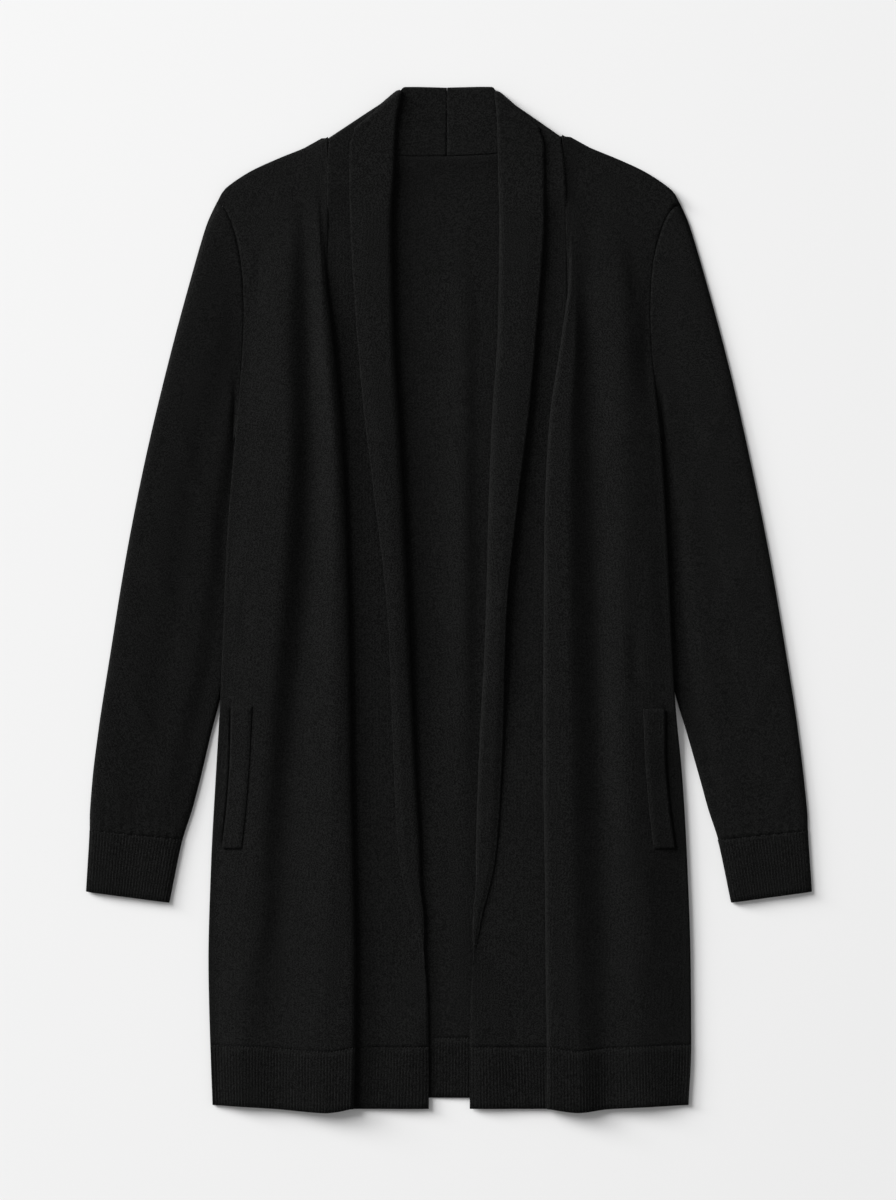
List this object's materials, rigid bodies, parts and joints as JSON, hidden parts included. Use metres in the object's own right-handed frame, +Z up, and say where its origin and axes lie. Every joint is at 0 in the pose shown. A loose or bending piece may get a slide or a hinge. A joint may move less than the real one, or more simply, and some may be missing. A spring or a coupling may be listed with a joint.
{
  "type": "duster cardigan",
  "caption": "Long open-front knitted duster cardigan with a shawl collar, front bands, ribbed hem and cuffs and slanted welt pockets, laid flat.",
  "frame": {"origin": "centre of the garment's outline on the surface it lies on, at floor height", "axes": "+Y runs from the hem to the neck along the length, +X towards the right-hand sleeve as seen from above, +Z up from the surface; the garment lies on its back"},
  "size_m": [0.667, 0.9424, 0.0121],
  "materials": {
    "jersey": "matt fine-gauge jersey, black",
    "rib": "matt fine 1 by 1 rib, black"
  },
  "bodies": {
    "root": {"back": "jersey", "hem_back": "rib", "front_left": "jersey", "hem_front_left": "rib", "pocket_welt_left": "jersey", "sleeve_left": "jersey", "cuff_left": "rib", "band_left": "jersey", "hem_band_left": "rib", "front_right": "jersey", "hem_front_right": "rib", "pocket_welt_right": "jersey", "sleeve_right": "jersey", "cuff_right": "rib", "band_right": "jersey", "hem_band_right": "rib"}
  },
  "joints": []
}
